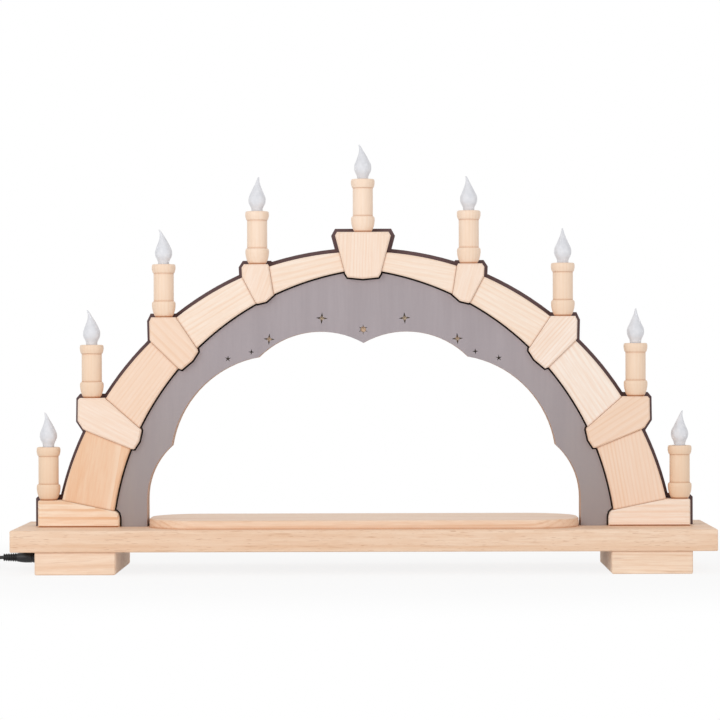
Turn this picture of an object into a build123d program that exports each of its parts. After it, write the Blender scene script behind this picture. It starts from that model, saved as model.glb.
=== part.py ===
from build123d import *
import math
import os

# Candle arch of pine and plywood, in millimetres.
# X runs along the board, Y from front to back, Z up. The origin is on the floor, under the
# middle of the board.

# Base board, feet and platform
board_length = 650.0
board_depth = 145.0
board_thickness = 20.0
board_chamfer = 0.8
foot_height = 21.0
foot_width = 74.5
foot_end_inset = 22.7
foot_side_inset = 2.0
foot_chamfer = 1.0
platform_thickness = 8.0
platform_depth = 116.0
platform_leg_gap = 2.2
platform_corner = 48.0
platform_chamfer = 0.8

# Layers of the arch, from front to back
keystone_thickness = 22.0
stone_recess = 2.5
front_panel_setback = 8.5
front_panel_thickness = 4.0
outline_panel_thickness = 4.0
rear_ring_thickness = 9.0
outline_panel_y = 1.5

# Ring of stones
arch_inset = 36.5
arch_centre_drop = 31.0
crown_width = 15.8
spring_width = 51.4
inner_arc_rise = 7.0
stone_outer_shares = [(1.0, 1.0), (0.9985, 0.9935), (0.989, 0.989), (0.994, 1.004)]
last_stone_angle = 90.0
stone_parting_share = 1.045
joint_gap = 0.2
inlay_gap = 1.6
panel_overhang = 3.9
stone_overhang = 4.35
stone_chamfer = 1.2
keystone_chamfer = 1.3

# Keystones: seats for the candles, and outlines from the seat's middle as shares of the reach,
# outwards and downwards
seat_step_angle = 19.75
seat_radius_shares = [1.0638, 1.0201, 1.0221, 1.0308]
keystone_reach = 50.0
crown_keystone_shares = [(0.484, 0), (0.52, 0.066), (0.332, 0.78), (0.288, 0.848), (0, 0.876)]
side_keystone_shares = [
    [(0.242, 0), (-0.204, 0), (-0.224, 0.042), (-0.31, 0.575), (-0.17, 0.7),
     (-0.006, 0.74), (0.028, 0.71), (0.276, 0.236), (0.284, 0.064)],
    [(0.22, 0), (-0.234, 0), (-0.644, 0.608), (-0.648, 0.65), (-0.542, 0.814),
     (-0.344, 0.98), (-0.288, 0.96), (0.228, 0.46), (0.25, 0.42), (0.258, 0.08)],
    [(0.21, 0), (-0.26, 0), (-0.93, 0.588), (-0.94, 0.62), (-0.896, 0.822),
     (-0.804, 0.962), (-0.752, 0.956), (0.08, 0.618), (0.148, 0.58), (0.248, 0.428), (0.242, 0.038)],
]

# Springer blocks at the foot of the arch
springer_height = 25.0
springer_toe_height = 14.5
springer_toe = 5.0
springer_toe_corner = 3.2
springer_toe_drop = 6.4
springer_toe_share = 0.33
springer_top_corner = 0.8
springer_seat_width = 22.4
springer_candle_inset = 8.8
springer_overhang = 4.6

# Scalloped edge and stars of the front panel, as shares of the arch's radius from its centre
scallop_shares = [(0, 0.7036), (0.1574, 0.7403), (0.3419, 0.6579), (0.5297, 0.5601),
                  (0.6259, 0.3702), (0.6853, 0.2909), (0.7057, 0.1958)]
star_place_shares = [(0.1348, 0.7844), (0.3064, 0.7168), (0.3646, 0.6752), (0.4409, 0.6534)]
star_ray_counts = [4, 4, 4, 5]
star_tips = [5.6, 5.4, 2.9, 3.2]
star_waist_share = 0.29
star_tilt = 4.0
middle_star_height_share = 0.7477
middle_star_radius = 2.7
middle_star_tip = 4.9
middle_star_ray_count = 6

# Candle sleeves, turned
sleeve_height = 50.0
sleeve_body_radius = 9.45
sleeve_rim_radius = 11.15
sleeve_rim_height = 8.4
sleeve_rim_round = 1.9
sleeve_rim_curl = 3.2
sleeve_rim_fall = 0.6
sleeve_bulge_radius = 11.1
sleeve_bulge_height = 15.3
sleeve_belly_height = 11.6
sleeve_lip_fall = 0.25
sleeve_lip_radius = 9.9
sleeve_base_radius = 7.9
sleeve_flank_share = 0.62
sleeve_shoulder_depth = 24.0
spigot_radius = 4.0
spigot_length = 8.0
spigot_clearance = 0.1

# Screw lamp holders and bulbs
holder_radius = 6.0
holder_bore_radius = 5.0
holder_height = 18.0
holder_floor = 2.0
sleeve_bore_clearance = 0.3
cap_radius = 4.7
cap_root_radius = 4.3
cap_thread_turns = 4
thread_pitch = 1.814
cap_shell_length = 12.0
cap_contact_radius = 2.0
cap_contact_height = 1.2
bulb_seat_gap = 0.1
glass_neck_radius = 4.2
glass_radius = 7.95
glass_wall = 0.7
flame_height = 32.6
flame_sink = 2.4
flame_root = 1.5
flame_lean = 4.2
flame_radius_shares = [(0.0, 0.615), (0.07, 0.66), (0.128, 0.675), (0.174, 0.735), (0.23, 0.855),
                       (0.282, 0.95), (0.349, 1.0), (0.433, 0.98), (0.52, 0.855), (0.608, 0.67),
                       (0.695, 0.495), (0.782, 0.335), (0.869, 0.205), (0.942, 0.135), (1.0, 0.07)]
flame_lean_shares = [0, 0, 0, 0, 0, 0, 0, 0, 0.02, 0.06, 0.13, 0.27, 0.47, 0.72, 1.0]
flame_turns = [155, 180, 180, 70, 150, 125, 90, 80, 45]

# Wiring
wire_radius = 1.25
wire_hole_radius = 2.0
wire_bend = 2.4
channel_depth = 3.4
channel_width = 5.0
channel_inset = 20.5
wire_clearance = 0.2
wire_drop = 20.0

# Power socket and plug
jack_radius = 5.2
jack_length = 13.0
jack_bore_radius = 2.85
jack_bore_depth = 10.0
jack_pin_radius = 1.0
jack_pin_length = 8.5
jack_height = 11.0
jack_clearance = 0.1
barrel_radius = 2.75
barrel_bore_radius = 1.25
barrel_length = 9.5
plug_radius = 5.0
plug_length = 20.0
plug_taper_length = 6.0
plug_gap = 0.3
relief_radius = 4.0
relief_end_radius = 3.4
relief_length = 13.0
relief_ribs = 6
relief_groove = 0.5

# Cord, its coil and the mains adapter
cord_diameter = 3.4
coil_mean_diameter = 40.0
coil_turn_pitch = 4.5
coil_layer_pitch = 4.3
coil_layer_turns = [3, 3, 3, 2.75]
coil_start = (-382.0, 5.6)
cord_lead_out = 4.6
cord_bend_share = 0.45
cord_route = [(-354.0, 7.2, 9.3), (-362.0, 6.4, 5.0), (-370.5, 5.6, 1.7)]
tail_length = 12.0
adapter_relief_length = 18.0
adapter_relief_radius = 3.4
adapter_length = 56.0
adapter_width = 38.0
adapter_thickness = 28.0
adapter_round = 4.0
pin_radius = 2.0
pin_length = 19.0
pin_spacing = 18.6
pin_round = 1.0

# Wood screws
screw_length = 30.0
screw_radius = 1.75
screw_head_radius = 3.4
screw_head_height = 2.2
screw_tip_length = 4.0
screw_clearance = 0.1
screw_recess = 0.5
screw_slot_length = 4.4
screw_slot_width = 0.8
screw_slot_depth = 1.2
foot_screw_y = 35.25
springer_screw_insets = (24.6, 57.6)

# Cuts run this far past the faces that they open
overrun = 5.0

# Worked out from the sizes above
board_top = foot_height + board_thickness
arch_radius = board_length / 2 - arch_inset
arch_z = board_top - arch_centre_drop
keystone_front = outline_panel_y - keystone_thickness
candle_y = outline_panel_y - keystone_thickness / 2
front_panel_y = keystone_front + front_panel_setback
core_y = front_panel_y + front_panel_thickness
rear_ring_y = outline_panel_y + outline_panel_thickness
arch_back = rear_ring_y + rear_ring_thickness
channel_radius = arch_radius - channel_inset
wire_y = rear_ring_y + wire_clearance + wire_radius
foot_depth = board_depth - 2 * foot_side_inset
foot_outer = board_length / 2 - foot_end_inset
foot_middle = foot_outer - foot_width / 2
inner_arc_top = arch_radius - crown_width - inner_arc_rise
inner_arc_side = arch_radius - spring_width
inner_arc_radius = (inner_arc_top ** 2 / inner_arc_side + inner_arc_side) / 2
inner_arc_offset = inner_arc_radius - inner_arc_side
inner_arc_z = arch_z + inner_arc_rise
springer_top = board_top + springer_height
springer_step_x = math.sqrt(arch_radius ** 2 - (springer_top - arch_z) ** 2)
springer_outer = springer_step_x + springer_seat_width
springer_toe_z = board_top + springer_toe_height
springer_toe_reach = math.sqrt(inner_arc_radius ** 2 - (springer_toe_z - inner_arc_z) ** 2)
springer_inner = springer_toe_reach - inner_arc_offset - springer_toe
leg_inner = scallop_shares[-1][0] * arch_radius
holder_bottom = sleeve_height - sleeve_shoulder_depth
cap_bottom = holder_bottom + holder_floor + bulb_seat_gap
cap_top = cap_bottom + cap_contact_height + cap_shell_length
cord_radius = cord_diameter / 2
plug_face = -foot_outer - plug_gap
relief_end = plug_face - plug_length - plug_taper_length - relief_length


def polygon(points):
    return make_face(Polyline(*points, close=True))


def disc(radius, x, z):
    return Pos(x, z) * Circle(radius)


def mirrored(outline):
    return mirror(outline, Plane.YZ)


def both_sides(outline):
    return outline + mirrored(outline)


def slab(outline, front, thickness):
    """An upright outline in X and Z, made solid from its front face backwards."""
    return extrude(Plane.XZ.offset(-front) * outline, amount=-thickness)


def grown(outline, margin):
    return offset(outline, amount=margin, kind=Kind.INTERSECTION)


def rod(radius, length, start, axis=(0, 0, 1)):
    """A round rod that starts at a point and runs along an axis."""
    upright = Cylinder(radius, length, align=(Align.CENTER, Align.CENTER, Align.MIN))
    return Plane(origin=start, z_dir=axis) * upright


def tube_along(path, radius):
    return sweep(Plane(origin=path @ 0, z_dir=path % 0) * Circle(radius), path=path)


def polar(angle, radius):
    """A point of the arch: the angle is counted from the top, positive to the right."""
    turn = math.radians(angle)
    return radius * math.sin(turn), arch_z + radius * math.cos(turn)


def seat_place(number):
    """The middle of a candle's seat: 0 is the crown, 1 to 3 the side keystones, 4 the springer."""
    if number == 4:
        return springer_outer - springer_candle_inset, springer_top
    return polar(number * seat_step_angle, arch_radius * seat_radius_shares[number])


def above_board(outline, floor=board_top):
    reach = arch_radius * 2
    block = Pos(0, floor + reach / 2) * Rectangle(2 * reach, reach)
    return outline & block


def keystone_outline(number):
    seat_x, seat_z = seat_place(number)
    if number == 0:
        right = [(u * keystone_reach, seat_z - v * keystone_reach) for u, v in crown_keystone_shares]
        left = [(-x, z) for x, z in reversed(right) if x > 0]
        return polygon(right + left)
    shares = side_keystone_shares[number - 1]
    return polygon([(seat_x + u * keystone_reach, seat_z - v * keystone_reach) for u, v in shares])


def springer_outline():
    run, drop = springer_toe_corner, springer_toe_drop
    return polygon([
        (springer_outer, board_top),
        (springer_outer, springer_top - springer_top_corner),
        (springer_outer - springer_top_corner, springer_top),
        (springer_step_x, springer_top),
        (springer_inner + run, springer_toe_z),
        (springer_inner + run * springer_toe_share, springer_toe_z - run * (1 - springer_toe_share)),
        (springer_inner, springer_toe_z - drop),
        (springer_inner, board_top),
    ])


def inner_arch(margin=0):
    """The pointed arch that the stones' inner edges follow, made smaller by a margin."""
    radius = inner_arc_radius - margin
    return disc(radius, -inner_arc_offset, inner_arc_z) & disc(radius, inner_arc_offset, inner_arc_z)


def seat_blocks(margin=0, springer_margin=0):
    """Every keystone and springer, grown by a margin."""
    blocks = grown(keystone_outline(0), margin) if margin else keystone_outline(0)
    for number in (1, 2, 3):
        side = grown(keystone_outline(number), margin) if margin else keystone_outline(number)
        blocks = blocks + both_sides(side)
    springer = grown(springer_outline(), springer_margin) if springer_margin else springer_outline()
    return blocks + both_sides(springer)


def scallop_opening():
    """The space under the arch: three lobes a side, and the straight inner edges of the legs."""
    right = [(u * arch_radius, arch_z + v * arch_radius) for u, v in scallop_shares]
    left = [(-x, z) for x, z in right]
    below = board_top - overrun
    edges = []
    for start in (0, 2, 4):
        edges.append(ThreePointArc(*right[start:start + 3]))
        edges.append(ThreePointArc(*left[start:start + 3]))
    edges.append(Line(right[-1], (right[-1][0], below)))
    edges.append(Line((right[-1][0], below), (left[-1][0], below)))
    edges.append(Line((left[-1][0], below), left[-1]))
    return make_face(edges)


def inlay_outline():
    """The front panel and the core: from the scalloped edge out to a thin gap at the stones."""
    field = inner_arch(inlay_gap) - seat_blocks(inlay_gap, inlay_gap)
    return above_board(field - scallop_opening())


def stone_sector(number, margin=0):
    """The slice of the arch that holds a stone: its outer edge falls or rises a little on its way."""
    start_share, end_share = stone_outer_shares[number - 1]
    step = seat_step_angle * stone_parting_share
    start = (number - 1) * step
    end = number * step if number < len(stone_outer_shares) else last_stone_angle
    middle_share = (start_share + end_share) / 2
    points = [polar(angle, arch_radius * share + margin) for angle, share in
              ((start, start_share), ((start + end) / 2, middle_share), (end, end_share))]
    centre = (0, arch_z)
    return make_face([Line(centre, points[0]), ThreePointArc(*points), Line(points[-1], centre)])


def ring_outline(overhang, stone_margin, springer_margin):
    """A whole layer of the arch: the stones' silhouette grown by an overhang, scalloped inside."""
    field = seat_blocks(overhang, springer_margin)
    for number in range(1, len(stone_outer_shares) + 1):
        field = field + both_sides(stone_sector(number, stone_margin))
    return above_board(field - scallop_opening())


def star(points, tip, turn):
    waist = tip * star_waist_share
    corners = []
    for index in range(2 * points):
        reach = tip if index % 2 == 0 else waist
        angle = math.radians(90 + turn + index * 180 / points)
        corners.append((reach * math.cos(angle), reach * math.sin(angle)))
    return polygon(corners)


def star_cuts():
    middle = Circle(middle_star_radius) + star(middle_star_ray_count, middle_star_tip, 0)
    cuts = Pos(0, arch_z + middle_star_height_share * arch_radius) * middle
    for (u, v), points, tip in zip(star_place_shares, star_ray_counts, star_tips):
        place = Pos(u * arch_radius, arch_z + v * arch_radius)
        cuts = cuts + both_sides(place * star(points, tip, star_tilt))
    return cuts


def screw_profile(grow):
    head = screw_head_radius + grow
    shank = screw_radius + grow
    length = screw_length + grow
    return make_face(Polyline(
        (0, -grow), (head, -grow), (shank, screw_head_height), (shank, length - screw_tip_length),
        (0, length), close=True))


def screw_solid(grow=0):
    """A countersunk screw along +Z, with its head's face at the origin."""
    return revolve(Plane.XZ * screw_profile(grow), axis=Axis.Z)


def screw_with_slots():
    blade = Box(screw_slot_length, screw_slot_width, screw_slot_depth * 2)
    return screw_solid() - blade - Rot(0, 0, 90) * blade


def screw_places():
    """Each screw's head and direction: feet, springers from under the board, rear ring."""
    up, forward = (0, 0, 1), (0, -1, 0)
    places = []
    for side in (-1, 1):
        for end in (-1, 1):
            places.append(((side * foot_middle, end * foot_screw_y, screw_recess), up))
        for inset in springer_screw_insets:
            places.append(((side * (springer_outer - inset), candle_y, foot_height + screw_recess), up))
        for number, shares in enumerate(stone_outer_shares):
            outer = arch_radius * min(shares)
            radius = (channel_radius + channel_width / 2 + outer) / 2
            x, z = polar((number + 0.5) * seat_step_angle, radius)
            places.append(((side * x, arch_back - screw_recess, z), forward))
    return places


def screw_cuts():
    cuts = []
    for start, axis in screw_places():
        outwards = tuple(-a for a in axis)
        entry = rod(screw_head_radius + screw_clearance, screw_recess + overrun, start, outwards)
        cuts.append(Plane(origin=start, z_dir=axis) * screw_solid(screw_clearance) + entry)
    return cuts


def near(shape, tools):
    """Only the tools whose boxes meet the shape's box."""
    box = shape.bounding_box()
    found = []
    for tool in tools:
        other = tool.bounding_box()
        apart = [getattr(box.min, a) >= getattr(other.max, a) or getattr(other.min, a) >= getattr(box.max, a)
                 for a in "XYZ"]
        if not any(apart):
            found.append(tool)
    return found


def cut_screws(shape):
    for tool in near(shape, all_screw_cuts):
        shape = shape - tool
    return shape


def front_edges(shape):
    """The edges of the front face, for a chamfer all round it."""
    return shape.faces().sort_by(Axis.Y)[0].edges()


def candle_places():
    """The nine candles from left to right: the middle of each seat, and the seat's number."""
    left = [(-seat_place(number)[0], seat_place(number)[1], number) for number in (4, 3, 2, 1)]
    right = [(*seat_place(number), number) for number in (0, 1, 2, 3, 4)]
    return left + right


def seat_cuts(x, z):
    """A candle's socket and the way of its wire down and out through the back."""
    socket_radius = spigot_radius + spigot_clearance
    socket_depth = spigot_length + joint_gap
    socket = rod(socket_radius, socket_depth + overrun, (x, candle_y, z - socket_depth))
    bottom = wire_drop + wire_hole_radius
    down = rod(wire_hole_radius, bottom, (x, candle_y, z - bottom))
    back = rod(wire_hole_radius, rear_ring_y - candle_y, (x, candle_y, z - wire_drop), (0, 1, 0))
    return socket + down + back


def make_base_board():
    board = Pos(0, 0, foot_height) * Box(
        board_length, board_depth, board_thickness, align=(Align.CENTER, Align.CENTER, Align.MIN))
    board = chamfer(board.edges(), board_chamfer)
    wire_way = rod(wire_hole_radius, board_thickness, (-wire_down_x, wire_y, foot_height))
    return cut_screws(board - wire_way)


def make_foot(side):
    foot = Pos(side * foot_middle, 0, 0) * Box(
        foot_width, foot_depth, foot_height, align=(Align.CENTER, Align.CENTER, Align.MIN))
    foot = chamfer(foot.edges().filter_by(Axis.Z) + foot.faces().sort_by(Axis.Z)[0].edges(), foot_chamfer)
    if side < 0:
        mouth = (-foot_outer, wire_y, jack_height)
        socket = rod(jack_radius + jack_clearance, jack_length, mouth, (1, 0, 0))
        across = rod(wire_hole_radius, foot_outer - wire_down_x, mouth, (1, 0, 0))
        bottom = jack_height - wire_hole_radius
        down = rod(wire_hole_radius, foot_height - bottom, (-wire_down_x, wire_y, bottom))
        foot = foot - socket - across - down
    return cut_screws(foot)


def make_platform():
    half = leg_inner - platform_leg_gap
    plan = RectangleRounded(2 * half, platform_depth, platform_corner)
    plank = Pos(0, 0, board_top) * extrude(plan, amount=platform_thickness)
    return chamfer(plank.faces().sort_by(Axis.Z)[-1].edges(), platform_chamfer)


def make_front_panel():
    return slab(inlay_outline() - star_cuts(), front_panel_y, front_panel_thickness)


def make_arch_core():
    return slab(inlay_outline(), core_y, outline_panel_y - core_y)


def wire_slots():
    """The wire's channel, drawn in X and Z: an arc along the arch, and a branch to each seat."""
    inner = channel_radius - channel_width / 2
    slots = disc(inner + channel_width, 0, arch_z) - disc(inner, 0, arch_z)
    slots = above_board(slots, board_top - overrun)
    for x, z, number in candle_places():
        down_z = z - wire_drop
        reach = math.hypot(x, down_z - arch_z)
        branch = Rectangle(channel_width, reach - channel_radius, align=(Align.CENTER, Align.MAX))
        angle = -math.degrees(math.atan2(x, down_z - arch_z))
        slots = slots + Pos(x, down_z) * Rot(0, 0, angle) * branch + disc(channel_width / 2, x, down_z)
    return slots


def make_outline_panel():
    outline = ring_outline(panel_overhang, stone_overhang, springer_overhang)
    panel = slab(outline, outline_panel_y, outline_panel_thickness)
    for x, z, number in candle_places():
        panel = panel - rod(wire_hole_radius, outline_panel_thickness + 2 * overrun,
                            (x, outline_panel_y - overrun, z - wire_drop), (0, 1, 0))
    return cut_screws(panel)


def make_rear_ring():
    ring = slab(ring_outline(0, 0, 0), rear_ring_y, rear_ring_thickness)
    ring = ring - slab(wire_slots(), rear_ring_y - overrun, channel_depth + overrun)
    return cut_screws(ring)


def make_keystone(number, side):
    block = slab(keystone_outline(number), keystone_front, keystone_thickness)
    block = chamfer(front_edges(block), keystone_chamfer)
    x, z = seat_place(number)
    block = cut_screws(block - seat_cuts(x, z))
    return block if side > 0 else mirrored(block)


def make_springer(side):
    block = slab(springer_outline(), keystone_front, keystone_thickness)
    block = chamfer(front_edges(block), keystone_chamfer)
    x, z = seat_place(4)
    block = cut_screws(block - seat_cuts(x, z))
    return block if side > 0 else mirrored(block)


def make_arch_stone(number, side):
    """The stone between seat block number - 1 and the next one down."""
    field = stone_sector(number) - inner_arch() - seat_blocks(joint_gap, joint_gap)
    field = max(field.faces(), key=lambda face: face.area)
    thickness = keystone_thickness - stone_recess
    stone = slab(Sketch() + field, keystone_front + stone_recess, thickness)
    stone = cut_screws(chamfer(front_edges(stone).filter_by(GeomType.CIRCLE), stone_chamfer))
    return stone if side > 0 else mirrored(stone)


def sleeve_shape():
    """The turned sleeve about its own axis, standing on its base, with its spigot below."""
    body, bulge, rim = sleeve_body_radius, sleeve_bulge_radius, sleeve_rim_radius
    belly, bulge_top = sleeve_belly_height, sleeve_bulge_height
    rim_bottom, rim_top = sleeve_height - sleeve_rim_height, sleeve_height
    curl_top, round_bottom = rim_bottom + sleeve_rim_curl, rim_top - sleeve_rim_round
    bore = holder_radius + sleeve_bore_clearance
    flank = sleeve_base_radius + (bulge - sleeve_base_radius) * sleeve_flank_share
    edges = [
        Polyline((wire_hole_radius, -spigot_length), (spigot_radius, -spigot_length), (spigot_radius, 0),
                 (sleeve_base_radius, 0)),
        ThreePointArc((sleeve_base_radius, 0), (flank, belly / 2), (bulge, belly)),
        ThreePointArc((bulge, belly), (bulge - sleeve_lip_fall, (belly + bulge_top) / 2),
                      (sleeve_lip_radius, bulge_top)),
        Polyline((sleeve_lip_radius, bulge_top), (body, bulge_top), (body, rim_bottom)),
        ThreePointArc((body, rim_bottom), (rim - sleeve_rim_fall, (rim_bottom + curl_top) / 2),
                      (rim, curl_top)),
        Line((rim, curl_top), (rim, round_bottom)),
        RadiusArc((rim, round_bottom), (rim - sleeve_rim_round, rim_top), -sleeve_rim_round),
        Polyline((rim - sleeve_rim_round, rim_top), (bore, rim_top), (bore, holder_bottom),
                 (wire_hole_radius, holder_bottom), (wire_hole_radius, -spigot_length)),
    ]
    return revolve(Plane.XZ * make_face(edges), axis=Axis.Z)


def holder_shape():
    """A lamp holder: a cup with the lamp's bore, standing on the sleeve's shoulder."""
    cup = rod(holder_radius, holder_height, (0, 0, holder_bottom))
    return cup - rod(holder_bore_radius, holder_height, (0, 0, holder_bottom + holder_floor))


def cap_shape():
    """The lamp's screw cap: shell with its thread's ridges, and the contact under it."""
    shell_bottom = cap_bottom + cap_contact_height
    thread_start = shell_bottom + thread_pitch
    points = [(0, cap_bottom), (cap_contact_radius, cap_bottom), (cap_contact_radius, shell_bottom),
              (cap_root_radius, shell_bottom), (cap_root_radius, thread_start)]
    for turn in range(cap_thread_turns):
        crest = thread_start + (turn + 0.5) * thread_pitch
        points += [(cap_radius, crest), (cap_root_radius, crest + thread_pitch / 2)]
    points += [(cap_root_radius, cap_top), (0, cap_top)]
    return revolve(Plane.XZ * polygon(points), axis=Axis.Z)


def flame_loft(wall):
    """The flame's body, lofted from the neck through circles that lean over towards the tip."""
    bottom = sleeve_height - flame_sink
    rings = [Pos(0, 0, bottom - flame_root) * Circle(glass_neck_radius - wall)]
    for (height, radius), lean in zip(flame_radius_shares, flame_lean_shares):
        ring_radius = radius * glass_radius - wall
        if ring_radius > glass_wall / 2:
            place = Pos(lean * flame_lean, 0, bottom + height * (flame_height + flame_sink))
            rings.append(place * Circle(ring_radius))
    return loft(rings)


def glass_shape():
    """The bulb's glass: a hollow leaning flame on a neck that stands on the screw cap."""
    neck_bottom = cap_top + bulb_seat_gap
    neck_length = sleeve_height - flame_sink - flame_root - neck_bottom
    outside = flame_loft(0) + rod(glass_neck_radius, neck_length, (0, 0, neck_bottom))
    inside = flame_loft(glass_wall) + rod(glass_neck_radius - glass_wall, neck_length, (0, 0, neck_bottom))
    return outside - inside


def make_wiring():
    """One loop of cable in the channel, a branch up into each candle, and the tail to the socket."""
    places = candle_places()
    lowest = places[-1]
    end_angle = math.degrees(math.atan2(lowest[0], lowest[1] - wire_drop - arch_z))

    def in_channel(angle):
        x, z = polar(angle, channel_radius)
        return x, wire_y, z

    main = ThreePointArc(in_channel(-end_angle), in_channel(0), in_channel(end_angle))
    wiring = tube_along(main, wire_radius)
    for x, z, number in places:
        down_z = z - wire_drop
        angle = math.degrees(math.atan2(x, down_z - arch_z))
        points = [in_channel(angle), (x, wire_y, down_z), (x, candle_y, down_z),
                  (x, candle_y, z + holder_bottom)]
        wiring = wiring + tube_along(FilletPolyline(*points, radius=wire_bend), wire_radius)
    left_x, left_y, left_z = in_channel(-end_angle)
    tail = [(-wire_down_x, wire_y, left_z), (-wire_down_x, wire_y, jack_height),
            (jack_length - foot_outer, wire_y, jack_height)]
    return wiring + tube_along(FilletPolyline(*tail, radius=wire_bend), wire_radius)


def make_dc_jack():
    start = (-foot_outer, wire_y, jack_height)
    body = rod(jack_radius, jack_length, start, (1, 0, 0))
    body = body - rod(jack_bore_radius, jack_bore_depth, start, (1, 0, 0))
    pin_start = (-foot_outer + jack_bore_depth - jack_pin_length, wire_y, jack_height)
    return body + rod(jack_pin_radius, jack_pin_length, pin_start, (1, 0, 0))


def make_screws():
    screw = screw_with_slots()
    return Compound([Plane(origin=start, z_dir=axis) * screw for start, axis in screw_places()])


def make_dc_plug():
    """The plug: metal barrel, moulded body, and the ribbed strain relief down to the cord."""
    taper_start = plug_length
    relief_start = taper_start + plug_taper_length
    relief_stop = relief_start + relief_length
    points = [(0, 0), (plug_radius, 0), (plug_radius, taper_start), (relief_radius, relief_start)]
    rib = relief_length / (2 * relief_ribs)
    for index in range(relief_ribs):
        share = (index + 1) / relief_ribs
        radius = relief_radius + (relief_end_radius - relief_radius) * share
        along = relief_start + 2 * index * rib
        points += [(radius - relief_groove, along + rib / 2), (radius - relief_groove, along + rib),
                   (radius, along + rib), (radius, along + 2 * rib)]
    points += [(0, relief_stop)]
    frame = Plane(origin=(plug_face, wire_y, jack_height), x_dir=(0, 1, 0), z_dir=(-1, 0, 0))
    body = frame * revolve(Plane.XZ * polygon(points), axis=Axis.Z)
    base = (plug_face, wire_y, jack_height)
    length = barrel_length + plug_gap
    barrel = rod(barrel_radius, length, base, (1, 0, 0)) - rod(barrel_bore_radius, length, base, (1, 0, 0))
    return Compound([body, barrel])


def run_radii(points):
    """Each corner's radius: a share of its shorter run, over the tangent of half its turn."""
    radii = []
    for before, corner, after in zip(points, points[1:], points[2:]):
        run_in = Vector(*corner) - Vector(*before)
        run_out = Vector(*after) - Vector(*corner)
        turn = math.radians(run_in.get_angle(run_out))
        radii.append(cord_bend_share * min(run_in.length, run_out.length) / math.tan(turn / 2))
    return radii


def cord_run(points):
    radii = run_radii(points)
    path = FilletPolyline(*points, radius=radii)
    tube = tube_along(path, cord_radius)
    expected = math.pi * cord_radius ** 2 * path.length
    print("cord run", round(path.length, 1), "mm, radii", [round(r, 1) for r in radii],
          "volume over section times length", round(tube.volume / expected, 4))
    return tube


def half_turns():
    """The coil as half turns: plan radius at each end, height at each end, and its angle."""
    inner = coil_mean_diameter / 2 - coil_turn_pitch * coil_layer_turns[0] / 2
    outer = inner + coil_turn_pitch * coil_layer_turns[0]
    steps = []
    radius, height = outer, cord_radius
    for layer, turns in enumerate(coil_layer_turns):
        direction = -1 if layer % 2 == 0 else 1
        left = turns
        while left > 0:
            share = min(left, 0.5)
            next_radius = radius + direction * coil_turn_pitch * share
            steps.append((share, radius, next_radius, height, height))
            radius, left = next_radius, left - share
        if layer < len(coil_layer_turns) - 1:
            radius = inner if direction < 0 else outer
            steps.append((0.5, radius, radius, height, height + coil_layer_pitch))
            height += coil_layer_pitch
    return steps, outer


def coil_point(angle, radius, height, centre):
    return Vector(centre[0] + radius * math.cos(angle), centre[1] + radius * math.sin(angle), height)


def arc_between(start, control, end):
    """The arc from start to end that is tangent to both legs of an even control corner."""
    turn = (control - start).get_angle(end - control)
    chord = end - start
    middle = start + chord * 0.5
    rise = chord.length / 2 * math.tan(math.radians(turn) / 4)
    bulge = (control - middle).normalized() * rise
    return ThreePointArc(start, middle + bulge, end)


def biarc(start, start_way, end, end_way):
    """Two arcs that leave the start and reach the end in the given directions."""
    span = end - start
    ways = start_way + end_way
    a = 2 * (start_way.dot(end_way) - 1)
    b = -2 * span.dot(ways)
    c = span.dot(span)
    reach = (-b - math.sqrt(b * b - 4 * a * c)) / (2 * a)
    first = start + start_way * reach
    second = end - end_way * reach
    joint = (first + second) * 0.5
    return [arc_between(start, first, joint), arc_between(joint, second, end)]


def coil_path():
    """The coil's centre line: clockwise from above, from the floor up, with straight ends."""
    steps, outer = half_turns()
    centre = (coil_start[0], coil_start[1] + outer)
    angle = -math.pi / 2
    point = coil_point(angle, steps[0][1], steps[0][3], centre)
    way = Vector(-1, 0, 0)
    edges = [Line(point - way * cord_diameter, point)]
    for share, radius, next_radius, height, next_height in steps:
        next_angle = angle - share * 2 * math.pi
        next_point = coil_point(next_angle, next_radius, next_height, centre)
        next_way = Vector(math.sin(next_angle), -math.cos(next_angle), 0)
        edges += biarc(point, way, next_point, next_way)
        angle, point, way = next_angle, next_point, next_way
    edges.append(Line(point, point + way * cord_diameter))
    return edges, point + way * cord_diameter, way


def least_self_gap(edges):
    """The least gap of the coil's tube to itself, on points more than a third of a turn apart."""
    spacing = cord_diameter / 2
    points, travelled, total = [], [], 0.0
    for edge in edges:
        count = max(2, round(edge.length / spacing))
        points += [edge @ (index / count) for index in range(count)]
        travelled += [total + edge.length * index / count for index in range(count)]
        total += edge.length
    apart = coil_mean_diameter
    least = coil_mean_diameter
    for index, point in enumerate(points):
        for other in range(index + 1, len(points)):
            if travelled[other] - travelled[index] > apart:
                least = min(least, (points[other] - point).length)
    return least - cord_diameter


def make_coil():
    edges, end, way = coil_path()
    length = sum(edge.length for edge in edges)
    wire = Wire(edges)
    tube = tube_along(wire, cord_radius)
    expected = math.pi * cord_radius ** 2 * length
    print("coil", round(length, 1), "mm, least gap to itself", round(least_self_gap(edges), 2),
          "mm, volume over section times length", round(tube.volume / expected, 4))
    return tube


def make_power_lead():
    """The cord's free runs: from the plug to the coil, and from the coil to the adapter."""
    first = [(relief_end, wire_y, jack_height), (relief_end - cord_lead_out, wire_y, jack_height),
             *cord_route, (coil_start[0] + cord_diameter, coil_start[1], cord_radius)]
    edges, end, way = coil_path()
    return Compound([cord_run(first), rod(cord_radius, tail_length, tuple(end), tuple(way))])


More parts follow.
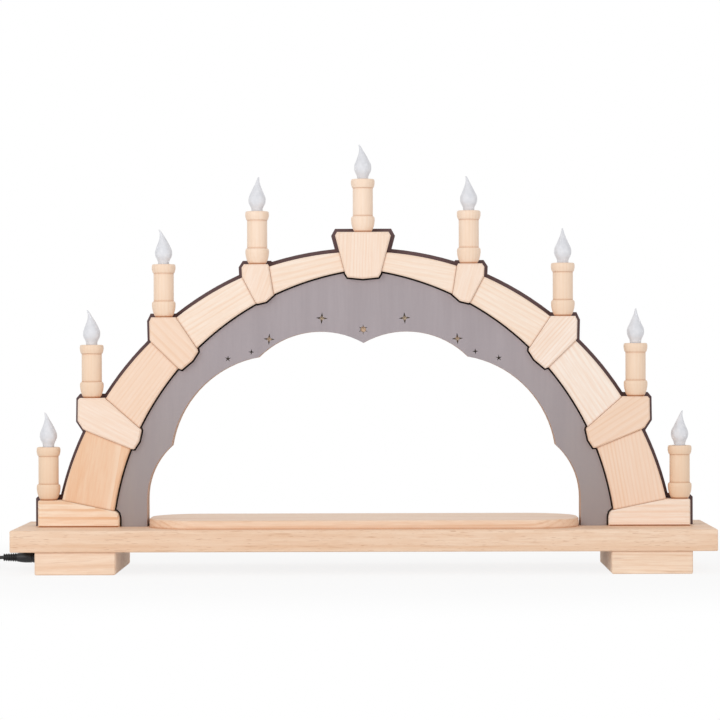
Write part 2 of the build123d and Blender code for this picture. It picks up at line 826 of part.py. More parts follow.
def make_adapter():
    """The plug-in supply on its back: housing, strain relief, and two round pins that point up."""
    edges, end, way = coil_path()
    relief_start = end + way * tail_length
    x, y, z = tuple(relief_start)
    relief = Plane(origin=(x, y, z), z_dir=(0, 1, 0)) * Cone(
        cord_radius + relief_groove, adapter_relief_radius, adapter_relief_length,
        align=(Align.CENTER, Align.CENTER, Align.MIN))
    body_y = y + adapter_relief_length
    body = Pos(x, body_y, 0) * Box(
        adapter_width, adapter_length, adapter_thickness, align=(Align.CENTER, Align.MIN, Align.MIN))
    body = fillet(body.edges().filter_by(Axis.Z) + body.faces().sort_by(Axis.Z)[-1].edges(), adapter_round)
    pins = []
    for side in (-1, 1):
        place = (x + side * pin_spacing / 2, body_y + adapter_length / 2, adapter_thickness)
        pin = rod(pin_radius, pin_length, place)
        pins.append(fillet(pin.faces().sort_by(Axis.Z)[-1].edges(), pin_round))
    return Compound([body + relief, *pins])


def save(name, shape):
    shape.label = name
    export_step(shape, os.path.join("parts", name + ".step"))


wire_down_x = math.sqrt(channel_radius ** 2 - (board_top - arch_z) ** 2)
all_screw_cuts = screw_cuts()
side_names = {-1: "left", 1: "right"}


def main():
    os.makedirs("parts", exist_ok=True)
    save("base_board", make_base_board())
    save("platform", make_platform())
    save("front_panel", make_front_panel())
    save("arch_core", make_arch_core())
    save("outline_panel", make_outline_panel())
    save("rear_ring", make_rear_ring())
    save("keystone_centre", make_keystone(0, 1))
    for side, name in side_names.items():
        save("foot_" + name, make_foot(side))
        save("springer_" + name, make_springer(side))
        for number in (1, 2, 3):
            save(f"keystone_{name}_{number}", make_keystone(number, side))
        for number in (1, 2, 3, 4):
            save(f"arch_stone_{name}_{number}", make_arch_stone(number, side))
    sleeve, holder, cap, glass = sleeve_shape(), holder_shape(), cap_shape(), glass_shape()
    holders = []
    for number, (x, z, seat) in enumerate(candle_places(), start=1):
        place = Pos(x, candle_y, z)
        save(f"candle_sleeve_{number}", place * sleeve)
        save(f"screw_cap_{number}", place * cap)
        save(f"flame_bulb_{number}", place * Rot(0, 0, flame_turns[number - 1]) * glass)
        holders.append(place * holder)
    save("lamp_holders", Compound(holders))
    save("wiring", make_wiring())
    save("dc_jack", make_dc_jack())
    save("wood_screws", make_screws())
    save("dc_plug", make_dc_plug())
    save("power_lead", make_power_lead())
    save("power_lead_coil", make_coil())
    save("mains_adapter", make_adapter())


main()
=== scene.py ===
import math

import bmesh
import bpy
from mathutils import Euler, Matrix, Vector


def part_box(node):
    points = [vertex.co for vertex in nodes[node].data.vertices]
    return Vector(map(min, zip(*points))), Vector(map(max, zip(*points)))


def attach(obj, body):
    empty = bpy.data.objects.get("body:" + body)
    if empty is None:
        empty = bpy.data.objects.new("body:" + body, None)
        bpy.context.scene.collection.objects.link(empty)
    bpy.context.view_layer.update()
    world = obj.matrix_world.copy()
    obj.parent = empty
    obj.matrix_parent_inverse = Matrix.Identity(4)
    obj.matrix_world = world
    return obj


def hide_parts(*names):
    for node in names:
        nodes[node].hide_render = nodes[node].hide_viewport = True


# Candle arch: pine board, feet and blocks, stained plywood panels, turned candle sleeves and
# frosted flame bulbs. Sizes are in millimetres and angles in degrees unless a name says otherwise.

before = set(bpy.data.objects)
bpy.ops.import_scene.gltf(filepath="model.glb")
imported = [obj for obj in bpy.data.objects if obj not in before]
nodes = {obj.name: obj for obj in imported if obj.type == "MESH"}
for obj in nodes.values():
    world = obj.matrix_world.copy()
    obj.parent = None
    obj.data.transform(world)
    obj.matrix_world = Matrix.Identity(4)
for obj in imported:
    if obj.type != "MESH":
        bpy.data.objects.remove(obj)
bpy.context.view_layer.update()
scene = bpy.context.scene

MM = 0.001
CANDLES = range(1, 10)

# Camera: the photograph's own view, fitted to the board's corners, the candle rims and the
# arch's cusps
PHOTO_PIXELS = 720
FOCAL_PIXELS = 2735.4
SENSOR_WIDTH = 36.0
CAMERA_PLACE = (26.4, -2580.6, 201.9)
CAMERA_TURN = 0.658
CAMERA_TILT = -0.111
CAMERA_ROLL = -0.191

# Soft studio light: an even sky and two square softboxes in front
WORLD_LIGHT = 0.64
SOFTBOX_METRES = 1.0
SOFTBOX_AIM_METRES = (0.0, 0.0, 0.2)
KEY_PLACE_METRES = (-0.8, -1.5, 0.75)
KEY_POWER = 8.2
FILL_PLACE_METRES = (1.0, -1.6, 0.45)
FILL_POWER = 4.0

# Floor: it shows the object's shadow in an oval round it and fades to plain white outside
FLOOR_REACH_METRES = 12.0
FLOOR_DROP = 0.05
FLOOR_WHITE_NEAR = 0.86
FLOOR_OVAL_METRES = (0.5, 0.3)
FLOOR_FADE = (0.7, 1.8)

# Candle sleeves: radius and height along the turned outline, with a groove over the swelling
# foot and a crisp edge under the rim
SLEEVE_HEIGHT = 50.0
SLEEVE_BODY_RADIUS = 9.45
SLEEVE_FOOT = [(7.5, 0.0), (8.5, 1.4), (9.7, 4.0), (10.6, 7.2), (11.04, 10.2), (11.12, 12.3),
               (10.97, 13.6), (10.5, 14.6), (9.9, 15.05), (9.35, 15.2)]
SLEEVE_RIM = [(9.3, 41.5), (9.9, 41.75), (10.3, 42.4), (10.6, 43.2), (10.85, 44.3),
              (11.08, 45.3), (11.15, 46.4), (11.12, 48.0), (10.8, 49.2), (10.15, 49.85),
              (9.3, 50.0)]
SLEEVE_EDGE = 0.35
SLEEVE_BORE_RADIUS = 6.3
SLEEVE_SHOULDER = 26.0
SPIGOT_RADIUS = 4.0
SPIGOT_LENGTH = 8.0
SLEEVE_SEGMENTS = 72

# Flame bulbs: radius and lean as shares, from the neck inside the sleeve's rim up to the tip
FLAME_SINK = 2.4
FLAME_HEIGHT = 35.0
FLAME_RADIUS = 7.95
FLAME_LEAN = 4.2
FLAME_RADIUS_SHARES = [(0.0, 0.615), (0.07, 0.66), (0.128, 0.675), (0.174, 0.735),
                       (0.23, 0.855), (0.282, 0.95), (0.349, 1.0), (0.433, 0.98),
                       (0.52, 0.855), (0.608, 0.67), (0.695, 0.495), (0.782, 0.335),
                       (0.869, 0.205), (0.942, 0.135), (1.0, 0.07)]
FLAME_LEAN_SHARES = [(0.0, 0.0), (0.433, 0.0), (0.52, 0.02), (0.608, 0.06), (0.695, 0.13),
                     (0.782, 0.27), (0.869, 0.47), (0.942, 0.72), (1.0, 1.0)]
FLAME_NECK_RADIUS = 4.2
FLAME_ROOT = 1.5
FLAME_NECK_LENGTH = 4.7
# Shallow flutes wind up round the flame and fade out towards its ends
FLAME_FLUTES = 8
FLAME_FLUTE_SHARE = 0.018
FLAME_TWIST_TURNS = 0.35
FLAME_FADE = [(0.0, 0.0), (0.25, 0.6), (0.45, 1.0), (0.8, 1.0), (1.0, 0.0)]
FLAME_ROWS = 72
FLAME_COLUMNS = 64
FLAME_SEAM_GAP = 0.002
# The band over a solid bulb's foot that gives its middle
BULB_FOOT_BAND = 2.0

# Power lead: the cord takes the route that the solid model has, through a coil in layers
CORD_DIAMETER = 3.4
CORD_ROUTE = [(-341.6, 6.95, 11.0), (-346.2, 6.95, 11.0), (-354.0, 7.2, 9.3),
              (-362.0, 6.4, 5.0), (-370.5, 5.6, 1.7), (-378.6, 5.6, 1.7)]
COIL_START = (-382.0, 5.6)
COIL_MEAN_DIAMETER = 40.0
COIL_TURN_PITCH = 4.5
COIL_LAYER_PITCH = 4.3
COIL_LAYER_TURNS = [3, 3, 3, 2.75]
COIL_CLIMB_TURNS = 0.5
COIL_POINTS_A_TURN = 24
COIL_INNER = COIL_MEAN_DIAMETER / 2 - COIL_TURN_PITCH * COIL_LAYER_TURNS[0] / 2
COIL_OUTER = COIL_INNER + COIL_TURN_PITCH * COIL_LAYER_TURNS[0]
COIL_TOP_LAYER = CORD_DIAMETER / 2 + (len(COIL_LAYER_TURNS) - 1) * COIL_LAYER_PITCH
CORD_TAIL = 12.0
CORD_INTO_RELIEF = 9.9

# Plug: radius and distance behind its face, with a grip groove, then the strain relief's rings,
# each from shares of its pitch and depths under its radius
PLUG_FACE = (-302.6, 6.95, 11.0)
PLUG_BODY = [(0.0, 0.0), (4.2, 0.0), (4.75, 0.25), (5.0, 0.8), (5.0, 10.9), (4.62, 11.2),
             (4.62, 11.9), (5.0, 12.2), (5.0, 17.5), (4.95, 19.0), (4.8, 20.8), (4.5, 23.0),
             (4.2, 24.8), (4.0, 26.0)]
PLUG_BARREL = [(0.0, 0.3), (2.75, 0.3), (2.75, -9.2), (2.45, -9.5), (1.25, -9.5),
               (1.25, -0.5), (0.0, -0.5)]
PLUG_SEGMENTS = 48
RELIEF_LENGTH = 13.0
RELIEF_RINGS = 6
RELIEF_RADII = (4.05, 3.45)
RELIEF_GROOVE = 0.75
RELIEF_RING = [(0.15, RELIEF_GROOVE), (0.38, RELIEF_GROOVE), (0.46, 0.25), (0.58, 0.0),
               (0.82, 0.0), (0.94, 0.25)]

# Mains adapter: a rounded shell in two halves, from heights and insets, a ringed strain relief
# and two part-sleeved round pins, from radii and lengths
ADAPTER_LENGTH = 56.0
ADAPTER_HEIGHT = 28.0
ADAPTER_CORNER = 4.0
ADAPTER_LEAST_CORNER = 0.3
ADAPTER_CORNER_POINTS = 7
ADAPTER_LEVELS = [(0.0, 1.6), (0.35, 0.7), (1.0, 0.15), (2.0, 0.0), (13.7, 0.0), (13.85, 0.45),
                  (14.35, 0.45), (14.5, 0.0), (25.0, 0.0), (26.3, 0.35), (27.3, 1.3),
                  (27.85, 2.6), (28.0, 4.0)]
ADAPTER_RELIEF = [(0.0, 0.0), (2.3, 0.0), (2.3, 1.4), (2.6, 1.7), (2.6, 3.4), (2.3, 3.7),
                  (2.3, 4.7), (2.75, 5.0), (2.75, 6.9), (2.35, 7.2), (2.35, 8.2), (2.95, 8.5),
                  (2.95, 10.5), (2.5, 10.8), (2.5, 11.8), (3.2, 12.1), (3.4, 18.5), (0.0, 18.5)]
ADAPTER_RELIEF_SEGMENTS = 40
PIN_SPACING = 18.6
PIN_SLEEVE = [(0.0, -0.5), (1.9, -0.5), (1.9, 9.6), (1.7, 10.0), (0.0, 10.0)]
PIN_METAL = [(0.0, 9.8), (2.0, 9.8), (2.0, 17.4), (1.85, 18.2), (1.4, 18.8), (0.7, 19.0),
             (0.0, 19.0)]
PIN_SEGMENTS = 32

# Strap that ties the coil
STRAP_WIDTH = 7.0
STRAP_THICKNESS = 0.7
STRAP_CORNER = 2.0
STRAP_CORNER_STEPS = 5
STRAP_TURN = 35.0
STRAP_THREAD = 0.8

# Edges sharper than these stay crisp
CRISP_WOOD = 35.0
CRISP_GLASS = 50.0
CRISP_PLASTIC = 32.0

# Wood tones
PINE_PALE = "#FCE7D6"
PINE_CREAM = "#FDECDC"
PINE_PINK = "#F9DEC9"
PINE_PEACH = "#EEBF98"
PINE_LINE = "#F1CAA9"
PINE_DEEP = "#E3A265"
RESIN_BROWN = "#BC8358"
BOARD_PALE = "#FADFC6"
BOARD_LINE = "#E3B48D"
BIRCH_PALE = "#FEE7D3"
# Painted shade on the lowest sleeves
BIRCH_LOW_SHADE = "#F5D8BC"
BIRCH_LINE = "#F0CBA9"

# The wave texture repeats every pi / 10 of its own units
WAVE_PERIOD = math.pi / 10
# How much longer than wide a grain figure is
GRAIN_STRETCH = 14.0
# From a ring's pale spring wood to its darker summer wood, which ends at a crisp line
RING_SHADE = [(0.0, 0.3), (0.1, 0.0), (0.55, 0.1), (0.85, 1.0), (1.0, 0.6)]
# How finely and how far apart the rings waver
RING_WARP_DETAIL = 2.0
RING_WARP_SCALE = 0.35
# The least and the most of its contrast that a ring has along its way
RING_CONTRAST_SPAN = (0.25, 1.3)
# Soft noise in wood: scale for each millimetre across the grain, detail, and the values between
# which it comes in
CONTRAST_DRIFT = (0.09, 1.0, 0.32, 0.68)
TONE_DRIFT = (0.045, 2.0, 0.35, 0.68)
RESIN_FLECKS = (0.34, 2.0, 0.63, 0.72)
RESIN_STREAKS = (1.5, 1.0, 0.64, 0.74)
VENEER_LINES = (0.42, 4.0, 0.3, 0.7)
VENEER_BANDS = (0.06, 4.0, 0.35, 0.65)
VENEER_LINE_DEPTH = 0.25
VENEER_BAND_DEPTH = 0.35
# Real fibres are too fine to show, so these are drawn between one and two millimetres wide
FIBRE_SCALE = 0.6
FIBRE_DETAIL = 4.0
FIBRE_ROUGHNESS = 0.62
FIBRE_START, FIBRE_FULL = 0.62, 0.36
# How far the grain stands in the sanded surface, and how it breaks up the sheen
GRAIN_RELIEF = 0.1
SHEEN_SPREAD = 0.06
# Between these heights the sleeves' colour darkens downwards: painted shade, as less light falls
# low down
HIGH_SLEEVE = 340.0
LOW_SLEEVE = 90.0
# Painted shade in joints, and painted shade with the laser's char in narrow cuts: how far it
# reaches, and how open the surface is where it starts and where it is full
SHADE_SAMPLES = 8
JOINT_REACH = 2.0
JOINT_START, JOINT_FULL = 1.0, 0.35
JOINT_SHADE = 0.85
# The warm tone of the painted shade in joints
JOINT_SHADE_TONE = "#C07A42"
CUT_REACH = 3.0
CUT_START, CUT_FULL = 0.52, 0.2
# Laser char with painted shade, for narrow cuts and recesses
CUT_CHAR_AND_SHADE = "#24150D"
# Between these heights a panel's colour goes over to its darker tone at the foot
FOOT_TONE_HIGH = 210.0
FOOT_TONE_LOW = 70.0
# A panel's face that looks less than this share forwards or back is a cut edge, and one nearer
# than this to the arch's centre is the scalloped edge inside
CUT_EDGE_FACING = 0.5
ARCH_CENTRE_HEIGHT = 10.0
SCALLOP_REACH = 228.0


def linear(hex_colour):
    """An sRGB hex colour as linear red, green, blue and alpha."""
    channels = [int(hex_colour[i:i + 2], 16) / 255 for i in (1, 3, 5)]
    return [c / 12.92 if c <= 0.04045 else ((c + 0.055) / 1.055) ** 2.4 for c in channels] + [1.0]


def add(tree, kind, inputs=None, stops=None, **settings):
    """Adds a node with its settings and links. An input takes a plain value, another node's
    output, or a node, which stands for its first output. Stops are the points of a curve."""
    node = tree.nodes.new(kind)
    for name, value in settings.items():
        setattr(node, name, value)
    for socket, value in (inputs or {}).items():
        if isinstance(value, bpy.types.Node):
            value = value.outputs[0]
        if isinstance(value, bpy.types.NodeSocket):
            tree.links.new(value, node.inputs[socket])
        else:
            node.inputs[socket].default_value = value
    if stops:
        points = node.mapping.curves[0].points
        while len(points) < len(stops):
            points.new(0.5, 0.5)
        for point, place in zip(points, stops):
            point.location = place
        node.mapping.update()
    return node


def new_material(name, **sockets):
    """A material with a Principled shader; constant numbers go on the shader's own sockets."""
    material = bpy.data.materials.new(name)
    material.use_nodes = True
    tree = material.node_tree
    tree.nodes.clear()
    constants = {title.replace("_", " "): value for title, value in sockets.items()}
    shader = add(tree, "ShaderNodeBsdfPrincipled", constants)
    add(tree, "ShaderNodeOutputMaterial", {"Surface": shader})
    return material, tree, shader


def dress(material, *names):
    """Gives CAD nodes their material."""
    for name in names:
        if not nodes[name].material_slots:
            nodes[name].data.materials.append(material)
        for slot in nodes[name].material_slots:
            slot.material = material


def grain_coordinates(tree, angle, pith):
    """Object coordinates in millimetres about a tree's pith, with X along the grain and
    stretched."""
    place = add(tree, "ShaderNodeTexCoord").outputs["Object"]
    return add(tree, "ShaderNodeMapping", {
        "Vector": place, "Location": [c * MM for c in pith],
        "Rotation": (0.0, -math.radians(angle), 0.0),
        "Scale": (GRAIN_STRETCH * MM, MM, MM)}, vector_type="TEXTURE")


def patches(tree, place, noise, least, most):
    """A share that drifts from least to most with soft noise."""
    scale, detail, start, end = noise
    cloud = add(tree, "ShaderNodeTexNoise", {"Vector": place, "Scale": scale, "Detail": detail})
    return add(tree, "ShaderNodeMapRange", {
        "Value": cloud, "From Min": start, "From Max": end, "To Min": least, "To Max": most})


def sawn_wood(name, early, late, angle, pith, ring, contrast, fibre=0.3, flecks=0.0, drift=0.2,
              warp=3.0, roughness=0.55, streaks=0.0, low_shade_tone=None):
    """Sawn and sanded softwood, matt: rings of pale early and darker late wood round the pith, cut
    where the piece's faces meet them, so a face shows soft uneven stripes and an end shows arcs,
    with fine fibres along the grain and a warm line of painted shade in the joints. angle is the
    grain's, from +X towards +Z; ring is the mean ring width; contrast, fibre, flecks, drift and
    streaks are shares. The last argument, if given, is painted shade: the early wood's darker
    tone in the lowest pieces, as less light falls there."""
    material, tree, shader = new_material(name, IOR=1.5)
    place = grain_coordinates(tree, angle, pith)
    rings = add(tree, "ShaderNodeTexWave", {
        "Vector": place, "Scale": WAVE_PERIOD / ring, "Distortion": warp,
        "Detail": RING_WARP_DETAIL, "Detail Scale": RING_WARP_SCALE,
    }, wave_type="RINGS", rings_direction="X", wave_profile="SAW")
    shade = add(tree, "ShaderNodeFloatCurve", {"Value": rings.outputs["Fac"]}, RING_SHADE)
    least, most = [share * contrast for share in RING_CONTRAST_SPAN]
    local_contrast = patches(tree, place, CONTRAST_DRIFT, least, most)
    ring_share = add(tree, "ShaderNodeMath", {0: shade, 1: local_contrast}, operation="MULTIPLY")
    strands = add(tree, "ShaderNodeTexNoise", {
        "Vector": place, "Scale": FIBRE_SCALE, "Detail": FIBRE_DETAIL,
        "Roughness": FIBRE_ROUGHNESS})
    fibre_share = add(tree, "ShaderNodeMapRange", {
        "Value": strands, "From Min": FIBRE_START, "From Max": FIBRE_FULL, "To Min": 0.0,
        "To Max": fibre})
    layers = [(patches(tree, place, TONE_DRIFT, 0.0, drift), late), (ring_share, late),
              (fibre_share, late)]
    for noise, depth in ((RESIN_FLECKS, flecks), (RESIN_STREAKS, streaks)):
        if depth:
            layers.append((patches(tree, place, noise, 0.0, depth), RESIN_BROWN))

    colour = linear(early)
    height = add(tree, "ShaderNodeSeparateXYZ", {
        "Vector": add(tree, "ShaderNodeTexCoord").outputs["Object"]}).outputs["Z"]
    # Painted shade: the lowest pieces are darker, as less light falls low down
    if low_shade_tone:
        lowness = add(tree, "ShaderNodeMapRange", {
            "Value": height, "From Min": HIGH_SLEEVE * MM, "From Max": LOW_SLEEVE * MM})
        colour = add(tree, "ShaderNodeMix", {0: lowness, 6: colour, 7: linear(low_shade_tone)},
                     data_type="RGBA").outputs[2]
    # The painted shade in joints stops short of the floor, which would shade the feet all round
    nook = add(tree, "ShaderNodeAmbientOcclusion", {"Distance": JOINT_REACH * MM},
               samples=SHADE_SAMPLES)
    joint_shade_share = add(tree, "ShaderNodeMapRange", {
        "Value": nook.outputs["AO"], "From Min": JOINT_START, "From Max": JOINT_FULL,
        "To Min": 0.0, "To Max": JOINT_SHADE})
    off_floor = add(tree, "ShaderNodeMapRange", {
        "Value": height, "From Min": JOINT_REACH * MM, "From Max": 2 * JOINT_REACH * MM})
    layers.append((add(tree, "ShaderNodeMath", {0: joint_shade_share, 1: off_floor},
                       operation="MULTIPLY"), JOINT_SHADE_TONE))
    for share, tone in layers:
        colour = add(tree, "ShaderNodeMix", {0: share, 6: colour, 7: linear(tone)},
                     data_type="RGBA").outputs[2]
    relief = add(tree, "ShaderNodeMath", {0: ring_share, 1: fibre_share}, operation="ADD")
    bump = add(tree, "ShaderNodeBump", {
        "Strength": 0.2, "Distance": GRAIN_RELIEF * MM, "Height": relief}, invert=True)
    sheen = add(tree, "ShaderNodeMapRange", {
        "Value": strands, "To Min": roughness - SHEEN_SPREAD, "To Max": roughness + SHEEN_SPREAD})
    tree.links.new(colour, shader.inputs["Base Color"])
    tree.links.new(sheen.outputs[0], shader.inputs["Roughness"])
    tree.links.new(bump.outputs[0], shader.inputs["Normal"])
    return material


def dress_wood():
    """Each block is its own piece of timber: early and late tone, grain direction, pith, ring
    width and contrast."""
    dress(sawn_wood("pine_board", BOARD_PALE, BOARD_LINE, 0.0, (40, 60, -55), 5.2, 0.3, fibre=0.35,
                    flecks=0.35, drift=0.45, warp=5.0, streaks=0.5), "base_board")
    dress(sawn_wood("pine_platform", BOARD_PALE, BOARD_LINE, 0.6, (0, -20, 5), 4.2, 0.4,
                    flecks=0.2, warp=4.0, roughness=0.46), "platform")
    dress(sawn_wood("pine_foot_left", "#FDE3CB", BOARD_LINE, 2.0, (-260, 30, 70), 6.0, 0.3,
                    flecks=0.2), "foot_left")
    dress(sawn_wood("pine_foot_right", "#FFE8D1", BOARD_LINE, -1.0, (265, -40, -60), 4.4, 0.35,
                    flecks=0.4), "foot_right")
    blocks = {
        "keystone_centre": (PINE_PALE, PINE_LINE, 88.0, (-60, 25, 300), 2.3, 0.3),
        "keystone_left_1": (PINE_PALE, PINE_LINE, 70.0, (-160, 30, 280), 2.6, 0.25),
        "keystone_left_2": (PINE_PINK, PINE_LINE, 135.0, (-235, 8, 170), 7.0, 0.5),
        "keystone_left_3": (PINE_PALE, PINE_LINE, 152.0, (-220, 40, 60), 3.0, 0.25),
        "keystone_right_1": (PINE_PALE, PINE_LINE, 74.0, (170, 30, 240), 2.6, 0.25),
        "keystone_right_2": ("#FFF0E4", PINE_LINE, 48.0, (240, 20, 150), 3.0, 0.3),
        "keystone_right_3": (PINE_PINK, PINE_LINE, 33.0, (215, 20, 90), 3.0, 0.5),
        "arch_stone_left_1": (PINE_CREAM, PINE_LINE, 13.0, (-60, 40, 180), 4.6, 0.28),
        "arch_stone_left_2": (PINE_CREAM, PINE_LINE, 31.0, (-120, 30, 330), 3.6, 0.38),
        "arch_stone_left_3": (PINE_PINK, PINE_LINE, 53.0, (-290, 25, 230), 3.4, 0.45),
        "arch_stone_left_4": (PINE_PEACH, "#FBE3CB", 80.0, (-284, 23, 87), 22.5, 0.85),
        "arch_stone_right_1": (PINE_CREAM, PINE_LINE, -10.0, (60, 35, 200), 4.2, 0.25),
        "arch_stone_right_2": (PINE_CREAM, PINE_LINE, -29.0, (110, 30, 200), 3.6, 0.3),
        "arch_stone_right_3": ("#FFF3E8", PINE_LINE, -56.0, (300, 25, 260), 4.4, 0.22),
        "arch_stone_right_4": (PINE_PINK, PINE_LINE, 100.0, (330, 20, 100), 3.2, 0.5),
        "springer_left": ("#FFECD6", PINE_DEEP, 0.0, (-270, 35, 10), 4.6, 0.5),
        "springer_right": ("#FFF0E2", PINE_LINE, 0.0, (270, 45, 95), 3.0, 0.4),
    }
    for node, (early, late, angle, pith, ring, contrast) in blocks.items():
        dress(sawn_wood("pine_" + node, early, late, angle, pith, ring, contrast), node)


def stained_plywood(name, face, foot_face, streak, outer_edge, inner_edge):
    """Thin birch plywood, stained and laser-cut, matt: an even stain with faint upright streaks of
    grain, a little darker towards the foot, and cut edges that the laser has browned. Narrow cuts
    and recesses are darker still, from painted shade mixed with the laser's char."""
    material, tree, shader = new_material(name, Roughness=0.62, IOR=1.5)
    place = add(tree, "ShaderNodeTexCoord").outputs["Object"]
    spot = add(tree, "ShaderNodeSeparateXYZ", {"Vector": place})
    lowness = add(tree, "ShaderNodeMapRange", {
        "Value": spot.outputs["Z"], "From Min": FOOT_TONE_HIGH * MM, "From Max": FOOT_TONE_LOW * MM})
    grain = grain_coordinates(tree, 90.0, (0.0, 0.0, 0.0))
    lines = patches(tree, grain, VENEER_LINES, 0.0, VENEER_LINE_DEPTH)
    bands = patches(tree, grain, VENEER_BANDS, 0.0, VENEER_BAND_DEPTH)

    outwards = add(tree, "ShaderNodeSeparateXYZ", {
        "Vector": add(tree, "ShaderNodeNewGeometry").outputs["Normal"]})
    facing = add(tree, "ShaderNodeMath", {0: outwards.outputs["Y"]}, operation="ABSOLUTE")
    on_edge = add(tree, "ShaderNodeMath", {0: facing, 1: CUT_EDGE_FACING}, operation="LESS_THAN")
    from_centre = add(tree, "ShaderNodeMapping", {
        "Vector": place, "Location": (0.0, 0.0, -ARCH_CENTRE_HEIGHT * MM),
        "Scale": (1.0, 0.0, 1.0)})
    reach = add(tree, "ShaderNodeVectorMath", {0: from_centre}, operation="LENGTH")
    inside = add(tree, "ShaderNodeMath", {0: reach.outputs["Value"], 1: SCALLOP_REACH * MM},
                 operation="LESS_THAN")
    edge = add(tree, "ShaderNodeMix", {0: inside, 6: linear(outer_edge), 7: linear(inner_edge)},
               data_type="RGBA").outputs[2]
    # Painted shade with the laser's char, darkest in narrow cuts and recesses
    nook = add(tree, "ShaderNodeAmbientOcclusion", {"Distance": CUT_REACH * MM},
               samples=SHADE_SAMPLES)
    char_and_shade = add(tree, "ShaderNodeMapRange", {
        "Value": nook.outputs["AO"], "From Min": CUT_START, "From Max": CUT_FULL})

    colour = linear(face)
    for share, tone in ((lowness, linear(foot_face)), (lines, linear(streak)),
                        (bands, linear(streak)), (on_edge, edge), (char_and_shade, linear(CUT_CHAR_AND_SHADE))):
        colour = add(tree, "ShaderNodeMix", {0: share, 6: colour, 7: tone},
                     data_type="RGBA").outputs[2]
    bump = add(tree, "ShaderNodeBump", {
        "Strength": 0.15, "Distance": GRAIN_RELIEF * MM, "Height": bands})
    tree.links.new(colour, shader.inputs["Base Color"])
    tree.links.new(bump.outputs[0], shader.inputs["Normal"])
    return material


def dress_panels():
    dress(stained_plywood("grey_stained_plywood", "#ACA2A6", "#A29794", "#9A9094", "#24150D",
                          "#B98A70"), "front_panel")
    dress(stained_plywood("brown_stained_plywood", "#5A4244", "#553E40", "#4C3638", "#33221E",
                          "#6B4A3C"), "outline_panel")
    dress(stained_plywood("natural_plywood", "#FFE6C6", "#FFE6C6", "#F4D2AC", "#2E1B12",
                          "#C9A183"), "arch_core", "rear_ring")


def fine_grain(tree, speck, detail=2.0):
    """A fine even mottle on Object coordinates, from the size of a speck."""
    place = add(tree, "ShaderNodeTexCoord").outputs["Object"]
    return add(tree, "ShaderNodeTexNoise", {
        "Vector": place, "Scale": 1.0 / (speck * MM), "Detail": detail})


def frosted_glass():
    """Acid-frosted bulb glass: milky, with a dull sheen and a thin cloudy veil."""
    material, tree, shader = new_material("frosted_bulb_glass", Roughness=0.42, IOR=1.5,
                                          Transmission_Weight=0.12)
    veil = add(tree, "ShaderNodeMapRange", {
        "Value": fine_grain(tree, 4.5), "From Min": 0.3, "From Max": 0.7})
    colour = add(tree, "ShaderNodeMix", {0: veil, 6: linear("#F4F4F8"), 7: linear("#E9EAEF")},
                 data_type="RGBA")
    tree.links.new(colour.outputs[2], shader.inputs["Base Color"])
    return material


def plain_metal(name, colour, speck, smoothest, roughest):
    """A plain metal whose gloss a fine mottle breaks up: rolling marks on brass, spangle on
    zinc."""
    material, tree, shader = new_material(name, Base_Color=linear(colour), Metallic=1.0)
    gloss = add(tree, "ShaderNodeMapRange", {
        "Value": fine_grain(tree, speck, 3.0), "To Min": smoothest, "To Max": roughest})
    tree.links.new(gloss.outputs[0], shader.inputs["Roughness"])
    return material


def moulded_plastic(name, colour, paler, roughness, speck):
    """Injection-moulded plastic: a fine spark-eroded grain that breaks up the sheen."""
    material, tree, shader = new_material(name, Roughness=roughness, IOR=1.47)
    grain = fine_grain(tree, speck)
    shade = add(tree, "ShaderNodeMapRange", {"Value": grain, "From Min": 0.35, "From Max": 0.7})
    tint = add(tree, "ShaderNodeMix", {0: shade, 6: linear(colour), 7: linear(paler)},
               data_type="RGBA")
    bump = add(tree, "ShaderNodeBump", {"Strength": 0.2, "Distance": 0.05 * MM, "Height": grain})
    tree.links.new(tint.outputs[2], shader.inputs["Base Color"])
    tree.links.new(bump.outputs[0], shader.inputs["Normal"])
    return material


def woven_strap():
    """Woven nylon strap of a cord tie: dark, with fine crossing threads."""
    material, tree, shader = new_material("woven_nylon_strap", Roughness=0.8, IOR=1.53)
    place = add(tree, "ShaderNodeTexCoord").outputs["Object"]
    threads = [add(tree, "ShaderNodeTexWave", {
        "Vector": place, "Scale": WAVE_PERIOD / (STRAP_THREAD * MM)}, bands_direction=way)
        for way in ("Z", "DIAGONAL")]
    weave = add(tree, "ShaderNodeMath", {
        0: threads[0].outputs["Fac"], 1: threads[1].outputs["Fac"]}, operation="MULTIPLY")
    tint = add(tree, "ShaderNodeMix", {0: weave, 6: linear("#17181B"), 7: linear("#33353A")},
               data_type="RGBA")
    bump = add(tree, "ShaderNodeBump", {"Strength": 0.4, "Distance": 0.15 * MM, "Height": weave})
    tree.links.new(tint.outputs[2], shader.inputs["Base Color"])
    tree.links.new(bump.outputs[0], shader.inputs["Normal"])
    return material


def dress_fittings(zinc):
    brass = plain_metal("rolled_brass", "#D9B465", 1.1, 0.24, 0.42)
    dress(brass, *[f"screw_cap_{number}" for number in CANDLES])
    dress(moulded_plastic("white_holder_plastic", "#E9E5DA", "#F0ECE3", 0.35, 0.6),
          "lamp_holders")
    dress(moulded_plastic("wire_sheath", "#DAD8D0", "#E4E2DA", 0.45, 0.8), "wiring")
    dress(moulded_plastic("black_socket_plastic", "#16171A", "#1E1F22", 0.42, 0.5), "dc_jack")
    dress(zinc, "wood_screws")


def link_object(name, data):
    made = bpy.data.objects.new(name, data)
    scene.collection.objects.link(made)
    return made


def smooth(piece, angle):
    """Smooth shading with the edges sharper than an angle kept crisp."""
    piece.data.shade_smooth()
    piece.data.set_sharp_from_angle(angle=math.radians(angle))


